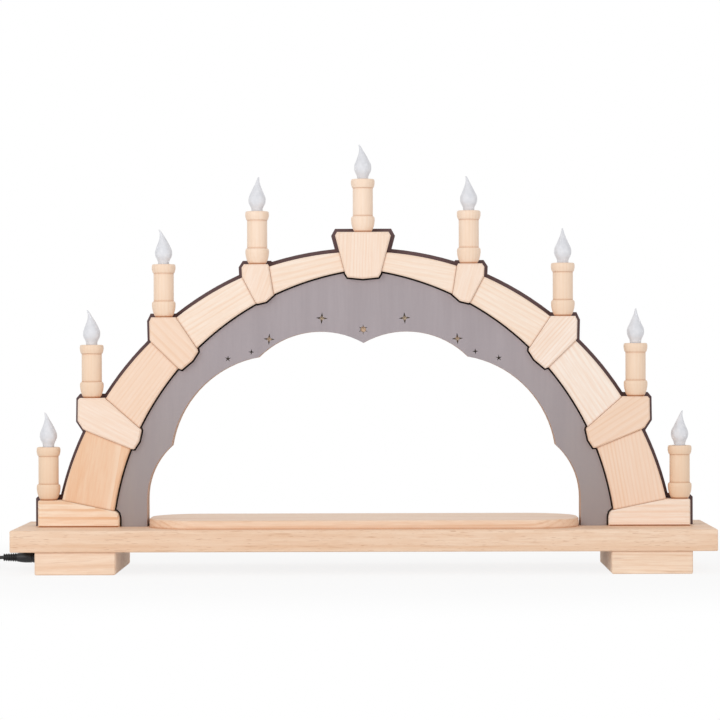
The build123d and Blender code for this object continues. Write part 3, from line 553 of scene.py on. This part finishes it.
def lathe(profile, segments):
    """A closed solid of revolution about Z, from (radius, height) points."""
    vertices, faces, rings = [], [], []
    for radius, height in profile:
        count = segments if radius else 1
        rings.append([len(vertices) + i % count for i in range(segments)])
        for i in range(count):
            turn = 2 * math.pi * i / segments
            vertices.append((radius * MM * math.cos(turn), radius * MM * math.sin(turn),
                             height * MM))
    for low, high in zip(rings, rings[1:]):
        for i in range(segments):
            j = (i + 1) % segments
            faces.append(list(dict.fromkeys((low[i], low[j], high[j], high[i]))))
    return vertices, faces


def mesh_of(name, *shells):
    """One mesh from several closed shells, with its faces turned outwards."""
    vertices, faces = [], []
    for shell_vertices, shell_faces in shells:
        faces += [[len(vertices) + index for index in face] for face in shell_faces]
        vertices += shell_vertices
    mesh = bpy.data.meshes.new(name)
    mesh.from_pydata(vertices, [], faces)
    shape = bmesh.new()
    shape.from_mesh(mesh)
    bmesh.ops.recalc_face_normals(shape, faces=shape.faces)
    shape.to_mesh(mesh)
    shape.free()
    return mesh


def finished(piece, finish, body, slot, *replaced):
    """Gives a piece its material, unless it has one, and its body, and hides the nodes it stands
    for. slot is not used."""
    if finish:
        piece.data.materials.append(finish)
    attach(piece, body)
    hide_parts(*replaced)
    return piece


def flowing(points, steps=4):
    """Points of a smooth line through the given ones, with the ends kept."""
    ends = [points[0], *points, points[-1]]
    line = [points[0]]
    for a, b, c, d in zip(ends, ends[1:], ends[2:], ends[3:]):
        for index in range(1, steps + 1):
            t = index / steps
            line.append(tuple(
                0.5 * (2 * q + (r - p) * t + (2 * p - 5 * q + 4 * r - s) * t ** 2
                       + (3 * q - p - 3 * r + s) * t ** 3) for p, q, r, s in zip(a, b, c, d)))
    return line


def sleeve_profile():
    """The sleeve's turned outline: spigot, swelling foot with its groove, straight body, rim and
    bore."""
    body, bore, edge = SLEEVE_BODY_RADIUS, SLEEVE_BORE_RADIUS, SLEEVE_EDGE
    points = [(0.0, -SPIGOT_LENGTH), (SPIGOT_RADIUS, -SPIGOT_LENGTH), (SPIGOT_RADIUS, 0.0)]
    points += flowing(SLEEVE_FOOT)
    points += [(body, SLEEVE_FOOT[-1][1] + edge), (body, SLEEVE_RIM[0][1] - edge)]
    points += flowing(SLEEVE_RIM)
    points += [(bore + edge, SLEEVE_HEIGHT), (bore, SLEEVE_HEIGHT - edge)]
    return points + [(bore, SLEEVE_SHOULDER), (0.0, SLEEVE_SHOULDER)]


def geometry_tree(name, inputs):
    """A geometry node tree with its named inputs; returns the tree and its input node."""
    tree = bpy.data.node_groups.new(name, "GeometryNodeTree")
    tree.interface.new_socket("Geometry", in_out="INPUT", socket_type="NodeSocketGeometry")
    for title, kind, value in inputs:
        socket = tree.interface.new_socket(title, in_out="INPUT", socket_type="NodeSocket" + kind)
        if value is not None:
            socket.default_value = value
    tree.interface.new_socket("Geometry", in_out="OUTPUT", socket_type="NodeSocketGeometry")
    return tree, add(tree, "NodeGroupInput")


def painted(tree, geometry, finish):
    """Ends a tree: real geometry in place of instances, with its material."""
    solid = add(tree, "GeometryNodeRealizeInstances", {"Geometry": geometry})
    coat = add(tree, "GeometryNodeSetMaterial", {"Geometry": solid, "Material": finish})
    add(tree, "NodeGroupOutput", {"Geometry": coat})


def bake(tree, values, name, vertices=(), edges=()):
    """Runs a geometry node tree on a few points and returns its result as a plain mesh object."""
    mesh = bpy.data.meshes.new("start")
    mesh.from_pydata(vertices, edges, [])
    piece = link_object("start", mesh)
    modifier = piece.modifiers.new("build", "NODES")
    modifier.node_group = tree
    for item in tree.interface.items_tree:
        if item.in_out == "INPUT" and item.name in values:
            modifier[item.identifier] = values[item.name]
    graph = bpy.context.evaluated_depsgraph_get()
    result = bpy.data.meshes.new_from_object(piece.evaluated_get(graph), depsgraph=graph)
    result.name = name
    bpy.data.objects.remove(piece)
    return link_object(name, result)


def candle_seats():
    """The middle of each sleeve's seat, from the CAD nodes."""
    seats = []
    for number in CANDLES:
        low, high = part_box(f"candle_sleeve_{number}")
        seats.append(Vector(((low.x + high.x) / 2, (low.y + high.y) / 2,
                             high.z - SLEEVE_HEIGHT * MM)))
    return seats


def make_sleeves():
    """One turned sleeve, set on the nine seats with its own turn each, so that no grain
    repeats."""
    turned = mesh_of("sleeve_pattern", lathe(sleeve_profile(), SLEEVE_SEGMENTS))
    pattern = link_object("sleeve_pattern", turned)
    tree, source = geometry_tree("seat_sleeves", [
        ("Sleeve", "Object", None), ("Finish", "Material", None), ("Seed", "Int", 5)])
    pick = add(tree, "GeometryNodeObjectInfo", {"Object": source.outputs["Sleeve"]})
    turn = add(tree, "FunctionNodeRandomValue", {
        "Min": (0.0, 0.0, 0.0), "Max": (0.0, 0.0, 2 * math.pi), "Seed": source.outputs["Seed"],
    }, data_type="FLOAT_VECTOR")
    placed = add(tree, "GeometryNodeInstanceOnPoints", {
        "Points": source.outputs["Geometry"], "Instance": pick.outputs["Geometry"],
        "Rotation": turn})
    painted(tree, placed, source.outputs["Finish"])
    birch = sawn_wood("turned_birch", BIRCH_PALE, BIRCH_LINE, 90.0, (-45, -60, 0), 3.2, 0.2,
                      fibre=0.22, drift=0.25, low_shade_tone=BIRCH_LOW_SHADE)
    sleeves = bake(tree, {"Sleeve": pattern, "Finish": birch}, "candle_sleeves", candle_seats())
    bpy.data.objects.remove(pattern)
    smooth(sleeves, CRISP_WOOD)
    finished(sleeves, None, "arch", "turned_birch",
             *[f"candle_sleeve_{number}" for number in CANDLES])


def flame_tree():
    """The glass of a flame bulb from a flat grid: X becomes the turn round the bulb and Y the
    height; radius and lean follow curves, and shallow flutes wind up round it."""
    tree, source = geometry_tree("flame_bulb", [
        ("Height", "Float", FLAME_HEIGHT * MM), ("Radius", "Float", FLAME_RADIUS * MM),
        ("Lean", "Vector", None), ("Flutes", "Float", float(FLAME_FLUTES)),
        ("Flute Depth", "Float", FLAME_FLUTE_SHARE),
        ("Twist", "Float", FLAME_TWIST_TURNS * 2 * math.pi), ("Finish", "Material", None)])
    given = source.outputs
    grid = add(tree, "GeometryNodeMeshGrid", {
        "Size X": 2 * math.pi, "Size Y": 1.0, "Vertices X": FLAME_COLUMNS + 1,
        "Vertices Y": FLAME_ROWS})
    place = add(tree, "ShaderNodeSeparateXYZ", {"Vector": add(tree, "GeometryNodeInputPosition")})
    turn = place.outputs["X"]
    share = add(tree, "ShaderNodeMath", {0: place.outputs["Y"], 1: 0.5}, operation="ADD")
    radius_share = add(tree, "ShaderNodeFloatCurve", {"Value": share}, FLAME_RADIUS_SHARES)
    lean_share = add(tree, "ShaderNodeFloatCurve", {"Value": share}, FLAME_LEAN_SHARES)
    fade = add(tree, "ShaderNodeFloatCurve", {"Value": share}, FLAME_FADE)
    # radius * radius share * (1 + depth * fade * cos(flutes * (twist * share + turn)))
    radius = share
    for operation, by, plus in (
            ("MULTIPLY_ADD", given["Twist"], turn), ("MULTIPLY", given["Flutes"], 0.0),
            ("COSINE", 0.0, 0.0), ("MULTIPLY", fade, 0.0),
            ("MULTIPLY_ADD", given["Flute Depth"], 1.0), ("MULTIPLY", radius_share, 0.0),
            ("MULTIPLY", given["Radius"], 0.0)):
        radius = add(tree, "ShaderNodeMath", {0: radius, 1: by, 2: plus}, operation=operation)
    rise = add(tree, "ShaderNodeMath", {0: share, 1: given["Height"]}, operation="MULTIPLY")
    arm = add(tree, "ShaderNodeCombineXYZ", {"X": radius, "Z": rise})
    upright = add(tree, "ShaderNodeVectorRotate", {"Vector": arm, "Angle": turn},
                  rotation_type="Z_AXIS")
    lean = add(tree, "ShaderNodeVectorMath", {0: given["Lean"], "Scale": lean_share},
               operation="SCALE")
    spot = add(tree, "ShaderNodeVectorMath", {0: upright, 1: lean}, operation="ADD")
    shaped = add(tree, "GeometryNodeSetPosition", {
        "Geometry": grid.outputs["Mesh"], "Position": spot})
    closed = add(tree, "GeometryNodeMergeByDistance", {
        "Geometry": shaped, "Distance": FLAME_SEAM_GAP * MM})
    painted(tree, closed, given["Finish"])
    return tree


def tip_lean(node):
    """How far a bulb's tip leans over and which way, from the CAD bulb's highest point."""
    points = [vertex.co for vertex in nodes[node].data.vertices]
    tip = max(points, key=lambda point: point.z)
    low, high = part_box(node)
    foot = [point for point in points if point.z < low.z + BULB_FOOT_BAND * MM]
    away = tip - sum(foot, Vector()) / len(foot)
    return Vector((away.x, away.y, 0.0)).normalized() * FLAME_LEAN * MM


def add_neck(mesh):
    """Draws the open flame's lower end in and down to the neck, and closes both ends."""
    shape = bmesh.new()
    shape.from_mesh(mesh)
    rim = [edge for edge in shape.edges
           if edge.is_boundary and edge.verts[0].co.z < FLAME_ROOT * MM]
    for drop in (FLAME_ROOT, FLAME_NECK_LENGTH):
        grown = bmesh.ops.extrude_edge_only(shape, edges=rim)["geom"]
        for vertex in [item for item in grown if isinstance(item, bmesh.types.BMVert)]:
            reach = FLAME_NECK_RADIUS * MM / math.hypot(vertex.co.x, vertex.co.y)
            vertex.co = (vertex.co.x * reach, vertex.co.y * reach, vertex.co.z - drop * MM)
        rim = [item for item in grown if isinstance(item, bmesh.types.BMEdge) and item.is_boundary]
    bmesh.ops.holes_fill(shape, edges=[edge for edge in shape.edges if edge.is_boundary])
    bmesh.ops.recalc_face_normals(shape, faces=shape.faces)
    shape.to_mesh(mesh)
    shape.free()


def make_bulbs():
    tree = flame_tree()
    glass = frosted_glass()
    foot = Vector((0.0, 0.0, (SLEEVE_HEIGHT - FLAME_SINK) * MM))
    for number, seat in zip(CANDLES, candle_seats()):
        node = f"flame_bulb_{number}"
        values = {"Lean": tip_lean(node), "Finish": glass}
        bulb = bake(tree, values, f"bulb_glass_{number}")
        add_neck(bulb.data)
        bulb.data.transform(Matrix.Translation(seat + foot))
        smooth(bulb, CRISP_GLASS)
        finished(bulb, None, f"bulb_{number}_glass", "frosted_glass", node)


def coil_points():
    """Clockwise from above and up from the floor, in layers that spiral in and out by turns."""
    centre = (COIL_START[0], COIL_START[1] + COIL_OUTER)
    angle, radius, height = -math.pi / 2, COIL_OUTER, CORD_DIAMETER / 2
    climb_a_turn = COIL_LAYER_PITCH / COIL_CLIMB_TURNS
    stretches = []
    for layer, turns in enumerate(COIL_LAYER_TURNS):
        way = -1 if layer % 2 == 0 else 1
        stretches += [(turns, way * COIL_TURN_PITCH, 0.0), (COIL_CLIMB_TURNS, 0.0, climb_a_turn)]
    points = [(centre[0], COIL_START[1], height)]
    for turns, spread, climb in stretches[:-1]:
        count = round(turns * COIL_POINTS_A_TURN)
        for _ in range(count):
            step = turns / count
            angle -= 2 * math.pi * step
            radius += spread * step
            height += climb * step
            points.append((centre[0] + radius * math.cos(angle),
                           centre[1] + radius * math.sin(angle), height))
    last_x, last_y, _ = points[-1]
    for reach in (CORD_DIAMETER, CORD_DIAMETER + CORD_TAIL + CORD_INTO_RELIEF):
        points.append((last_x + reach * math.sin(angle), last_y - reach * math.cos(angle),
                       height))
    return points


def make_cord(sheath):
    """The whole cord as one round curve, from the plug through the coil to the adapter."""
    points = CORD_ROUTE + coil_points()
    curve = bpy.data.curves.new("power_cord", "CURVE")
    curve.dimensions = "3D"
    spline = curve.splines.new("NURBS")
    spline.points.add(len(points) - 1)
    for point, place in zip(spline.points, points):
        point.co = (*(c * MM for c in place), 1.0)
    spline.order_u = 3
    spline.use_endpoint_u = True
    spline.resolution_u = 4
    curve.bevel_depth = CORD_DIAMETER / 2 * MM
    curve.bevel_resolution = 5
    curve.use_fill_caps = True
    cord = link_object("power_cord", curve)
    return finished(cord, sheath, "power_plug", "black_rubbery_plastic", "power_lead",
                    "power_lead_coil")


def make_plug(sheath, zinc):
    """Moulded plug with a grip groove and ringed strain relief, and its metal barrel."""
    profile = list(PLUG_BODY)
    pitch = RELIEF_LENGTH / RELIEF_RINGS
    start = PLUG_BODY[-1][1]
    first, last = RELIEF_RADII
    for ring in range(RELIEF_RINGS):
        radius = first + (last - first) * ring / (RELIEF_RINGS - 1)
        profile += [(radius - depth, start + (ring + share) * pitch)
                    for share, depth in RELIEF_RING]
    profile += [(last - RELIEF_GROOVE, start + RELIEF_LENGTH), (0.0, start + RELIEF_LENGTH)]
    stand = (Matrix.Translation(Vector(PLUG_FACE) * MM)
             @ Matrix.Rotation(math.radians(-90), 4, "Y"))
    made = []
    for name, outline, finish, slot in (
            ("plug_body", profile, sheath, "black_rubbery_plastic"),
            ("plug_barrel", PLUG_BARREL, zinc, "zinc_steel")):
        piece = link_object(name, mesh_of(name, lathe(outline, PLUG_SEGMENTS)))
        piece.data.transform(stand)
        smooth(piece, CRISP_PLASTIC)
        made.append(finished(piece, finish, "power_plug", slot, "dc_plug"))
    return made


def rounded_box(width, length, levels):
    """A closed box with rounded corners, from (height, inset) levels."""
    vertices, faces, rings = [], [], []
    for height, inset in levels:
        radius = max(ADAPTER_CORNER - inset, ADAPTER_LEAST_CORNER)
        reach_x, reach_y = width / 2 - inset - radius, length / 2 - inset - radius
        ring = []
        for quarter in range(4):
            side_x = 1 if quarter in (0, 3) else -1
            side_y = 1 if quarter in (0, 1) else -1
            for step in range(ADAPTER_CORNER_POINTS):
                turn = math.pi / 2 * (quarter + step / (ADAPTER_CORNER_POINTS - 1))
                ring.append(len(vertices))
                vertices.append(((side_x * reach_x + radius * math.cos(turn)) * MM,
                                 (side_y * reach_y + radius * math.sin(turn)) * MM, height * MM))
        rings.append(ring)
    for low, high in zip(rings, rings[1:]):
        for i in range(len(low)):
            j = (i + 1) % len(low)
            faces.append([low[i], low[j], high[j], high[i]])
    return vertices, faces + [rings[0], rings[-1]]


def moved(shell, place):
    vertices, faces = shell
    return [tuple(place @ Vector(vertex)) for vertex in vertices], faces


def make_adapter(shell_finish, zinc):
    """The plug-in supply on its back: two-part shell, ringed strain relief, part-sleeved pins."""
    low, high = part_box("mains_adapter")
    middle = Vector(((low.x + high.x) / 2, high.y - ADAPTER_LENGTH / 2 * MM, 0.0))
    width = (high.x - low.x) / MM
    relief_place = (Matrix.Translation(Vector((middle.x, low.y, COIL_TOP_LAYER * MM)))
                    @ Matrix.Rotation(math.radians(-90), 4, "X"))
    shells = [moved(rounded_box(width, ADAPTER_LENGTH, ADAPTER_LEVELS),
                    Matrix.Translation(middle)),
              moved(lathe(ADAPTER_RELIEF, ADAPTER_RELIEF_SEGMENTS), relief_place)]
    pins = []
    for side in (-1, 1):
        foot = Matrix.Translation(
            middle + Vector((side * PIN_SPACING / 2, 0.0, ADAPTER_HEIGHT)) * MM)
        shells.append(moved(lathe(PIN_SLEEVE, PIN_SEGMENTS), foot))
        pins.append(moved(lathe(PIN_METAL, PIN_SEGMENTS), foot))
    made = []
    for name, parts, finish, slot in (("adapter_shell", shells, shell_finish, "black_plastic"),
                                      ("adapter_pins", pins, zinc, "zinc_steel")):
        piece = link_object(name, mesh_of(name, *parts))
        smooth(piece, CRISP_PLASTIC)
        made.append(finished(piece, finish, "power_plug", slot, "mains_adapter"))
    return made


def strap_tree():
    """A flat strap swept along a line of edges."""
    tree, source = geometry_tree("strap_round_coil", [
        ("Width", "Float", STRAP_WIDTH * MM), ("Thickness", "Float", STRAP_THICKNESS * MM),
        ("Finish", "Material", None)])
    line = add(tree, "GeometryNodeMeshToCurve", {"Mesh": source.outputs["Geometry"]})
    upright = add(tree, "GeometryNodeSetCurveNormal", {"Curve": line}, mode="Z_UP")
    section = add(tree, "GeometryNodeCurvePrimitiveQuadrilateral", {
        "Width": source.outputs["Thickness"], "Height": source.outputs["Width"]})
    band = add(tree, "GeometryNodeCurveToMesh", {
        "Curve": upright, "Profile Curve": section, "Fill Caps": True})
    painted(tree, band, source.outputs["Finish"])
    return tree


def make_coil_tie():
    """A woven strap round the coil's turns at one place, clear of where the cord comes and
    goes."""
    gap = STRAP_THICKNESS / 2
    top = COIL_TOP_LAYER + CORD_DIAMETER / 2 + gap
    inner = COIL_INNER - CORD_DIAMETER / 2 - gap
    outer = COIL_OUTER + CORD_DIAMETER / 2 + gap
    line = []
    for quarter, (x, y) in enumerate(((outer, top), (inner, top), (inner, gap), (outer, gap))):
        side = (-1 if x == outer else 1, -1 if y == top else 1)
        for step in range(STRAP_CORNER_STEPS + 1):
            turn = math.pi / 2 * (quarter + step / STRAP_CORNER_STEPS)
            line.append(((x + STRAP_CORNER * (side[0] + math.cos(turn))) * MM,
                         (y + STRAP_CORNER * (side[1] + math.sin(turn))) * MM, 0.0))
    edges = [(index, (index + 1) % len(line)) for index in range(len(line))]
    tie = bake(strap_tree(), {"Finish": woven_strap()}, "coil_tie", line, edges)
    centre = Vector((COIL_START[0], COIL_START[1] + COIL_OUTER, 0.0)) * MM
    tie.data.transform(Matrix.Translation(centre)
                       @ Matrix.Rotation(math.radians(STRAP_TURN), 4, "Z")
                       @ Matrix.Rotation(math.radians(90), 4, "X"))
    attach(tie, "power_plug")
    return tie


def make_lead(zinc):
    """The cord with all that rides on it: plug, adapter and coil tie."""
    sheath = moulded_plastic("black_cord_sheath", "#141416", "#1B1B1E", 0.4, 1.2)
    cord = make_cord(sheath)
    plug = make_plug(sheath, zinc)
    shell_finish = moulded_plastic("black_adapter_plastic", "#17181A", "#202124", 0.5, 0.7)
    on_it = [*plug, *make_adapter(shell_finish, zinc), make_coil_tie()]


def make_camera():
    """The photograph's view: along +Y, level with the middle of the arch's opening."""
    data = bpy.data.cameras.new("camera")
    data.sensor_width = SENSOR_WIDTH
    data.lens = SENSOR_WIDTH * FOCAL_PIXELS / PHOTO_PIXELS
    data.clip_end = 50.0
    camera = link_object("camera", data)
    camera.location = [c * MM for c in CAMERA_PLACE]
    aim = Euler((math.radians(90 + CAMERA_TILT), 0.0, math.radians(CAMERA_TURN))).to_matrix()
    roll = Matrix.Rotation(math.radians(CAMERA_ROLL), 3, "Z")
    camera.rotation_euler = (aim @ roll).to_euler()
    scene.camera = camera


def backdrop_share(tree):
    """1 for the rays that should see a plain white background: from the camera, gloss and
    glass."""
    path = add(tree, "ShaderNodeLightPath").outputs
    share = path["Is Camera Ray"]
    for rays in ("Is Glossy Ray", "Is Transmission Ray"):
        share = add(tree, "ShaderNodeMath", {0: share, 1: path[rays]}, operation="MAXIMUM")
    return share


def make_floor():
    """A pale floor that keeps the object's soft shadow near it, and is plain white further off."""
    material, tree, shader = new_material("pale_floor", Roughness=0.9, Specular_IOR_Level=0.0,
                                          Base_Color=linear("#F4F4F4"))
    place = add(tree, "ShaderNodeTexCoord").outputs["Object"]
    half_x, half_y = FLOOR_OVAL_METRES
    around = add(tree, "ShaderNodeVectorMath", {0: place, 1: (1 / half_x, 1 / half_y, 0.0)},
                 operation="MULTIPLY")
    reach = add(tree, "ShaderNodeVectorMath", {0: around}, operation="LENGTH").outputs["Value"]
    whiteness = add(tree, "ShaderNodeMapRange", {
        "Value": reach, "From Min": FLOOR_FADE[0], "From Max": FLOOR_FADE[1],
        "To Min": FLOOR_WHITE_NEAR, "To Max": 1.0}, interpolation_type="SMOOTHSTEP")
    share = add(tree, "ShaderNodeMath", {0: whiteness, 1: backdrop_share(tree)},
                operation="MULTIPLY")
    white = add(tree, "ShaderNodeEmission", {"Color": (1.0, 1.0, 1.0, 1.0), "Strength": 1.0})
    mixed = add(tree, "ShaderNodeMixShader", {0: share, 1: shader, 2: white})
    tree.links.new(mixed.outputs[0], tree.get_output_node("ALL").inputs["Surface"])
    far = FLOOR_REACH_METRES
    mesh = bpy.data.meshes.new("floor")
    mesh.from_pydata([(-far, -far, 0), (far, -far, 0), (far, far, 0), (-far, far, 0)], [],
                     [(0, 1, 2, 3)])
    mesh.materials.append(material)
    floor = link_object("floor", mesh)
    floor.location.z = -FLOOR_DROP * MM


def make_world():
    """An even sky that lights the object softly and is plain white behind it."""
    world = bpy.data.worlds.new("studio")
    world.use_nodes = True
    tree = world.node_tree
    tree.nodes.clear()
    strength = add(tree, "ShaderNodeMapRange", {
        "Value": backdrop_share(tree), "To Min": WORLD_LIGHT, "To Max": 1.0})
    sky = add(tree, "ShaderNodeBackground", {
        "Color": (1.0, 1.0, 1.0, 1.0), "Strength": strength})
    add(tree, "ShaderNodeOutputWorld", {"Surface": sky})
    scene.world = world


def make_softbox(name, place, power):
    """A square softbox that faces the arch."""
    data = bpy.data.lights.new(name, "AREA")
    data.shape = "SQUARE"
    data.size = SOFTBOX_METRES
    data.energy = power
    lamp = link_object(name, data)
    lamp.location = place
    towards = Vector(SOFTBOX_AIM_METRES) - Vector(place)
    lamp.rotation_euler = towards.to_track_quat("-Z", "Y").to_euler()


make_camera()
make_world()
make_floor()
make_softbox("key_softbox", KEY_PLACE_METRES, KEY_POWER)
make_softbox("fill_softbox", FILL_PLACE_METRES, FILL_POWER)
zinc_plate = plain_metal("zinc_plated_steel", "#C9C9C6", 1.4, 0.28, 0.45)
dress_wood()
dress_panels()
dress_fittings(zinc_plate)
make_sleeves()
make_bulbs()
make_lead(zinc_plate)

scene.view_settings.view_transform = "Standard"
